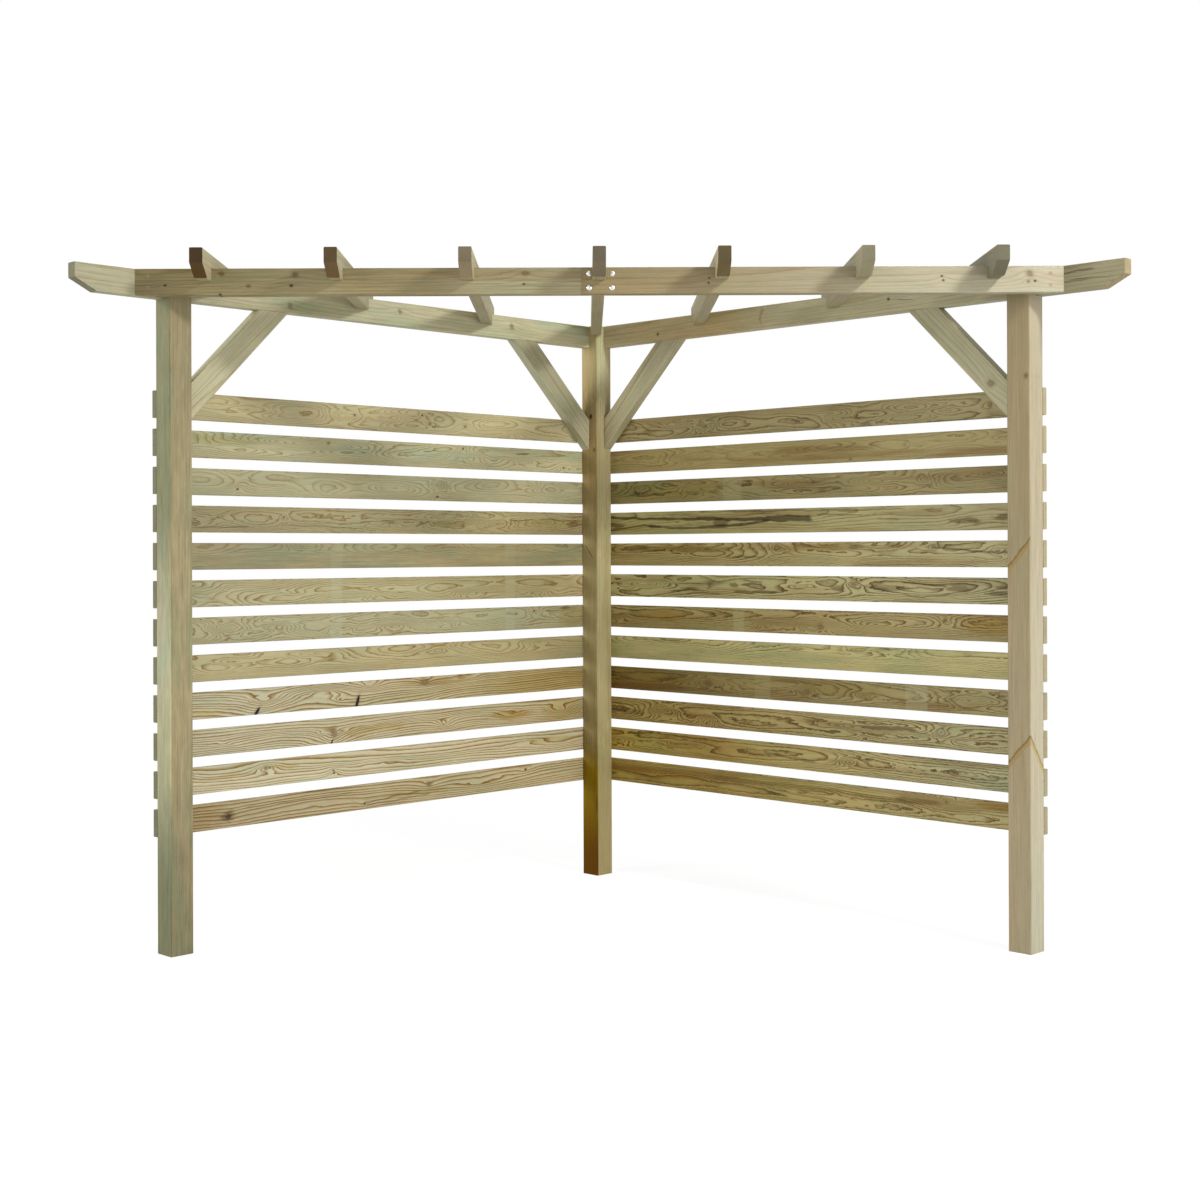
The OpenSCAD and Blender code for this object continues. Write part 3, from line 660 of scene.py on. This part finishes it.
# straighter grain than the others have
calm = {"wander": 26, "waves": (430, 150), "ring": 2.6, "strength": 1.3}
rightSlats = {
    1: {**calm, "near": (1.10, "resin"), "far": (1.22, "warm"), "pith": (-14, -34),
        "swells": [(545, 24, 70, 16, 20), (60, -6, 200, 16, 9)], "knots": [("soft", 545, 21, 5)],
        "washes": [(-620, 3, 230, 16, 0.85, "amber"), (-230, 12, 130, 9, 0.72, "honey"),
                   (40, 14, 180, 9, 0.75, "honey"),
                   (300, 8, 130, 8, 0.65, "honey"), (440, 13, 80, 10, 0.6, "honey"),
                   (721, 26, 90, 12, 0.75, "amber")]},
    2: {**calm, "near": (1.28, "resin"), "far": (1.22, "olive"), "greenness": 0.6,
        "swells": [(-465, 4, 200, 15, 24), (-760, -2, 90, 16, 16), (200, 2, 60, 18, 18)],
        "ribbons": [(-115, -20, 5, -1, 4, 0.45), (-20, 70, -1, -7, 4, 0.5), (-560, -400, 6, 4, 3, 0.35)],
        "washes": [(640, 0, 240, 40, 0.92, "olive")]},
    3: {**calm, "near": (1.2, "amber"), "far": (1.15, "olive"), "strength": 1.7, "pith": (0, -34),
        "swells": [(-551, 4, 90, 24, 30), (-360, -9, 50, 16, 15), (340, 4, 330, 14, 30)],
        "knots": [("pale", 528, 10, 8), ("dark", 267, -27, 2.5), ("soft", -359, -22, 4)],
        "ribbons": [(-800, -656, 17, 17, 2.5, 0.5), (-800, -650, -6, -7, 7, 0.5), (253, 435, 6, 10, 5.5, 0.6)]},
    4: {**calm, "near": (0.70, "amber"), "far": (1.0, "warm"), "brownness": 0.9, "strength": 1.0,
        "swells": [(24, -2, 80, 14, 14), (262, -2, 90, 16, 18), (640, 4, 180, 28, 32), (-354, 2, 170, 16, 18)],
        "knots": [("brown", -354, 2, 9), ("brown", 48, -2, 5)],
        "blots": [(-545, 5, 55, 8, 0.4), (-748, 2, 45, 8, 0.45), (560, 0, 30, 8, 0.35)],
        "marks": [(-128, 62), (444, 76)], "washes": [(-680, 0, 260, 40, 0.9, "amber"),
                                                     (180, 8, 160, 20, 0.9, "honey")]},
    5: {"near": (1.50, "fern"), "far": (1.36, "fern"), "strength": 1.0, "ring": 2.6, "brownness": 0.1,
        "greenness": 0.6,
        "pith": (32, -34), "swells": [(9, 26, 80, 12, 10), (243, 28, 80, 12, 12)],
        "blots": [(-519, 30, 80, 5, 0.35), (2, 24, 48, 6, 0.35), (236, 27, 42, 5, 0.35), (319, 29, 30, 5, 0.35),
                  (442, 27, 60, 4, 0.35), (659, 22, 60, 3, 0.3)]},
    6: {**calm, "near": (1.1, "honey"), "far": (1.06, "warm"), "pith": (14, -34),
        "swells": [(-109, -13, 100, 18, 18), (60, -14, 110, 24, 30), (290, 0, 120, 20, -16),
                   (-752, -6, 70, 16, 16)],
        "knots": [("eye", 98, -12, 9), ("soft", 540, 16, 5)], "blots": [(-310, 20, 48, 8, 0.4)],
        "marks": [(-225, 44)],
        "washes": [(-560, 6, 130, 16, 0.85, "amber"), (690, 10, 110, 30, 0.82, "amber")]},
    7: {"near": (1.44, "fern"), "far": (1.16, "olive"), "strength": 1.3, "ring": 3.8,
        "dark": (0.42, 0.33, 0.21), "edge": (0.2, 0.14, 0.075),
        "swells": [(-600, 6, 230, 16, 34), (22, 6, 150, 14, 20), (-330, -4, 90, 16, -12),
                   (470, -4, 120, 20, -14)],
        "knots": [("eye", 222, 12, 8), ("eye", -691, 5, 5)],
        "ribbons": [(-239, -76, -16, -13, 3.5, 0.75), (-210, -130, 23, 18, 3.5, 0.6),
                    (408, 544, 19, 12, 2.4, 0.7),
                    (408, 470, -15, -23, 2.2, 0.5), (470, 550, -23, -10, 2.2, 0.5),
                    (-430, -300, -22, -20, 2.4, 0.5)],
        "blots": [(-756, 6, 24, 5, 0.7), (-430, -7, 50, 6, 0.55), (-247, 6, 22, 10, 0.75),
                  (166, 2, 26, 9, 0.65),
                  (276, 9, 26, 7, 0.5), (355, 4, 50, 13, 0.55), (588, 7, 42, 10, 0.75), (735, 12, 44, 7, 0.75),
                  (720, -6, 52, 7, 0.75)]},
    8: {"near": (1.24, "honey"), "far": (1.24, "olive"), "strength": 1.25, "pith": (18, -34),
        "swells": [(190, 26, 170, 12, 24), (720, 10, 90, 22, 20), (-420, 16, 200, 12, 18)],
        "knots": [("eye", -66, 22, 8), ("pale", 494, 20, 4)],
        "ribbons": [(490, 800, 17, 1, 2.6, 0.65), (-270, -130, -8, -9, 2.4, 0.5)],
        "blots": [(-676, 18, 90, 11, 0.5), (-616, 25, 40, 5, 0.4), (230, 24, 34, 6, 0.5),
                  (366, 26, 32, 7, 0.55),
                  (530, 22, 56, 7, 0.5), (137, 27, 40, 5, 0.4)],
        "washes": [(-451, 17, 190, 13, 0.78, "honey"), (60, 18, 120, 12, 0.85, "honey")]},
    9: {"near": (1.18, "moss"), "far": (1.08, "olive"), "strength": 0.75, "ring": 4.6, "pith": (24, -34),
        "wander": 26,
        "swells": [(-340, 2, 420, 16, 12), (620, -9, 120, 16, 16)],
        "ribbons": [(-800, -385, 20, 10, 4.0, 0.9), (-385, -238, 10, 8, 5.0, 0.9), (-238, -118, 8, 7, 4.5, 0.9),
                    (-118, 58, 6, 8, 9.0, 0.9), (-800, -630, -21, -10, 3.0, 0.7),
                    (-630, -386, -11, -20, 3.4, 0.75),
                    (-386, -217, -20, -8, 4.0, 0.85), (-217, -100, -8, 0, 4.5, 0.85),
                    (-385, 391, 33, 27, 2.0, 0.5),
                    (100, 260, 17, 15, 2.4, 0.5), (-620, -100, 27, 22, 1.6, 0.35)],
        "blots": [(-770, -4, 56, 10, 0.85), (-584, -13, 34, 8, 0.75), (-300, 0, 36, 16, 0.85),
                  (605, -9, 54, 10, 0.75),
                  (349, 0, 40, 5, 0.45), (737, 0, 50, 9, 0.8)]},
    10: {"near": (0.87, "honey"), "far": (0.91, "warm"), "greenness": 0.7, "marks": [(-250, 76)],
         "swells": [(-410, 2, 170, 26, 34), (-10, 10, 130, 18, 28), (300, 8, 170, 20, 36), (470, 6, 60, 26, 20),
                    (690, 18, 110, 18, -18), (-650, 14, 90, 20, 14)],
         "blots": [(-300, 8, 26, 10, 0.4), (60, 12, 40, 3, 0.5)],
         "washes": [(-520, 0, 260, 30, 0.85, "moss"), (50, 12, 50, 6, 1.0, "honey"),
                    (740, 0, 60, 40, 0.85, "plain")]},
    11: {"near": (1.02, "honey"), "far": (1.04, "warm"), "strength": 0.55, "brownness": 0.9, "greenness": 0.1,
         "knots": [("soft", 212, -29, 4)],
         "swells": [(-420, 1, 150, 13, 18), (43, 3, 180, 10, 10), (444, 8, 70, 10, 12),
                    (730, 10, 100, 16, 14)]},
    12: {"near": (0.98, "warm"), "far": (0.97, "plain"), "pith": (-6, -34),
         "swells": [(-471, 8, 130, 14, 18), (-384, -14, 50, 18, 18), (157, -10, 90, 18, 24),
                    (300, -2, 70, 14, 12),
                    (420, -5, 110, 12, 16), (560, -7, 90, 14, 20)],
         "knots": [("pale", -330, -3, 6), ("soft", 691, -1, 6)],
         "blots": [(36, -6, 46, 7, 0.45), (-640, 6, 60, 3, 0.4)]},
}
for number in range(1, 13):
    makePine(f"left_slat_{number:02d}", "panel", True, **{**leftWood, **leftSlats[number]})
    makePine(f"right_slat_{number:02d}", "panel", **{**rightWood, **rightSlats[number]})
print("slats stained")

# The frame's timbers are smoother, with straight faint grain. Places count from the pergola's origin
frameWood = {"pale": (0.41, 0.36, 0.215), "dark": (0.76, 0.66, 0.52), "edge": (0.60, 0.47, 0.32),
             "green": (0.33, 0.34, 0.205), "strength": 0.45, "wander": 6, "pith": (40, -110),
             "waves": (520, 120),
             "streaks": 0.45, "jag": 0.5, "ring": 3.8, "knotLift": 0.35}
posts = {
    "corner_post": {"near": (0.99, "honey"), "far": (1.06, "warm"), "brownness": 0.5, "gloss": 0.05,
                    # painted shade: the corner post's face towards the shelter, turned from the key lamp, is
                    # darkened, most of all at its foot in the corner
                    "shelterFaceLightAndShade": [(60, 0.29, "ochre"), (340, 0.58, "mustard"), (480, 0.63, "tan"),
                                    (700, 0.77, "warm"),
                                    (1150, 0.72, "tan"), (1420, 0.85, "tan")],
                    # painted light: these washes brighten the post's middle and top, where the beams above shade
                    # it
                    "washes": [(830, 0, 400, 90, 1.30, "olive"), (1800, 0, 200, 90, 1.36, "olive")],
                    "knots": [("dark", 1553, 8, 6), ("soft", 1440, 24, 5)],
                    "cracks": [(1095, -2, 40, 1.6, -38), (242, 31, 40, 2.2, 0)]},
    "right_post": {"near": (1.14, "grey"), "far": (0.89, "rosy"), "strength": 0.25,
                   # painted shade: the right post's face towards the shelter is darkened
                   "shelterFaceLightAndShade": [(0, 0.78, "tan"), (1859, 0.86, "honey")],
                   "spikes": [(496.5, -1.114, 1.357, 11, False), (1079.5, -1.13, 0, 10, True)],
                   "knots": [("soft", 1568, 24, 6)]},
    "left_post": {"near": (0.58, "olive"), "far": (0.74, "olive"), "mottle": 0.7, "greenness": 0.9,
                  "brownness": 0.1,
                  # painted light on the left post's face towards the shelter, and painted light and shade up its
                  # outer face
                  "shelterFaceLightAndShade": [(100, 1.2, "tan"), (620, 1.52, "tan"), (1750, 1.1, "tan")], "strength": 0.35,
                  "outerFaceLightAndShade": [(160, 0.70, "moss"), (600, 1.5, "fern"), (800, 1.6, "plain"),
                                (1270, 0.72, "moss")]},
}
for name, own in posts.items():
    makePine(name, "post", name == "left_post", True, **{**frameWood, "pith": (-60, 60), **own})
beams = {
    # partly paler wood and partly painted light: the beam is brightened where the front beam and rafters shade it
    "left_side_beam": {"near": (1.42, "olive"), "far": (1.12, "olive"), "end": (0.20, 0.185, 0.105),
                       "mottle": 0.3,
                       "greenness": 0.8, "knots": [("soft", 390, 4, 7, 60), ("soft", 854, 8, 6, 60),
                                                   ("soft", 1260, -14, 7, 60)],
                       "washes": [(330, -10, 90, 20, 0.85, "fern"), (1210, -12, 120, 20, 0.85, "fern")]},
    "right_side_beam": {"near": (1.20, "plain"), "far": (1.14, "olive"), "end": (0.36, 0.29, 0.15),
                        "knots": [("dark", 285, -13, 4), ("dark", 1198, 6, 4)],
                        "washes": [(1880, 0, 210, 120, 0.62, "warm"), (420, 0, 300, 60, 0.95, "tan"),
                                   (720, 6, 6, 26, 0.75, "tan")],
                        "ribbons": [(1700, 1850, 14, 18, 2.0, 0.6), (1560, 1900, -14, -6, 2.4, 0.35)],
                        "cracks": [(1250, -1, 52, 0.9, -8), (1816, -4, 46, 1.0, 0)]},
}
for name, own in beams.items():
    makePine(name, "panel", name.startswith("left"), True, **{**frameWood, **own})
frontBeams = {
    "front_beam_left": {"near": (0.70, "honey"), "far": (0.97, "plain"), "brownness": 0.6, "streaks": 0.8,
                        "washes": [(-540, 0, 150, 90, 0.89, "warm")],
                        "knots": [("brown", -198, 20, 6), ("dark", -202, -9, 3), ("dark", -1166, -9, 3),
                                  ("brown", -942, -12, 4),
                                  ("dark", -827, -11, 4), ("soft", -817, 19, 7), ("brown", -1015, 22, 5),
                                  ("dark", -1018, -34, 3)]},
    "front_beam_right": {"near": (0.75, "tan"), "far": (1.06, "grey"), "strength": 0.35, "streaks": 0.35,
                         "knots": [("dark", 296, 6, 2.5), ("dark", 294, -7, 2.5), ("dark", 920, 9, 2.5),
                                   ("dark", 924, -2, 2.5),
                                   ("soft", 1156, 15, 8, -35), ("dark", 1170, -5, 3), ("soft", 1152, -6, 4)]},
}
for name, own in frontBeams.items():
    makePine(name, "front", False, True, **{**frameWood, **own})
braces = {
    "left_corner_brace": {"near": (1.03, "olive"), "far": (1.0, "olive")},
    "right_corner_brace": {"near": (1.05, "plain"), "far": (1.03, "olive"), "strength": 0.7},
    # partly paler wood and partly painted light: the left front brace is brightened where the front beam shades
    # it
    "left_front_brace": {"near": (1.32, "olive"), "far": (1.3, "olive")},
    "right_front_brace": {"near": (1.1, "olive"), "far": (1.08, "olive"), "knots": [("eye", -111, 4, 9, 20)]},
}
for name, own in braces.items():
    way = "cornerBrace" if "corner" in name else "frontBrace"
    makePine(name, way, name.startswith("left"), **{**frameWood, **own})
rafters = {
    # the numbers for the down-facing cut paint it brighter, as painted light
    1: {"end": (0.048, 0.023, 0.002), "underCutPaintedLight": 2.2},
    2: {"end": (0.100, 0.063, 0.024)},
    3: {"end": (0.200, 0.155, 0.090)},
    4: {"end": (0.132, 0.106, 0.064)},
    5: {"end": (0.100, 0.072, 0.027)},
    # painted shade: the sixth and seventh rafters are darkened for the shade on their sides turned from the key
    # lamp
    6: {"end": (0.200, 0.180, 0.110), "near": (0.8, "plain"), "far": (0.9, "plain")},
    7: {"end": (0.140, 0.128, 0.078), "underCutPaintedLight": 1.3, "near": (0.5, "olive"), "far": (0.58, "olive")},
}
rafterRing = 0.45      # how dark the rings in the sawn ends are
# each rafter's down-facing cut is painted brighter by 1.7 unless it has its own number, as painted light
for number, own in rafters.items():
    ring = [part * rafterRing for part in own["end"]]
    makePine(f"rafter_{number}", "rafter", **{**frameWood, "endRing": ring, "underCutPaintedLight": 1.7, **own})
print("frame stained")


# Zinc on the screws, bolts, washers and nuts
zincSettings = {
    "screwZinc": {"colour": (0.62, 0.56, 0.42), "roughness": 0.38, "metal": 1,
                  "pieces": ("left_slat_screws", "right_slat_screws", "beam_screws", "rafter_screws",
                             "brace_screws")},
    "stainedScrewZinc": {"colour": (0.36, 0.27, 0.17), "roughness": 0.6, "metal": 0.3,
                         "pieces": ("front_beam_screws",)},
    "boltZinc": {"colour": (0.80, 0.81, 0.83), "roughness": 0.24, "metal": 1,
                 "pieces": ("lap_bolts", "lap_washers", "lap_nuts")},
}


def makeZinc(name, settings):
    finish = Finish(name)
    place = finish.add("TexCoord", {}, {}, "Object") * 1000
    cloud = finish.noise(place / 3, 3, 0.6)
    colour = finish.mix(cloud, [part * 0.8 for part in settings["colour"]], settings["colour"])
    roughness = settings["roughness"] + (cloud - 0.5) * 0.2
    finish.set(Base_Color=colour, Metallic=settings["metal"], Roughness=roughness)
    for piece in settings["pieces"]:
        cover(piece, finish.material)


for name, settings in zincSettings.items():
    makeZinc(name, settings)
print("zinc on the fasteners")
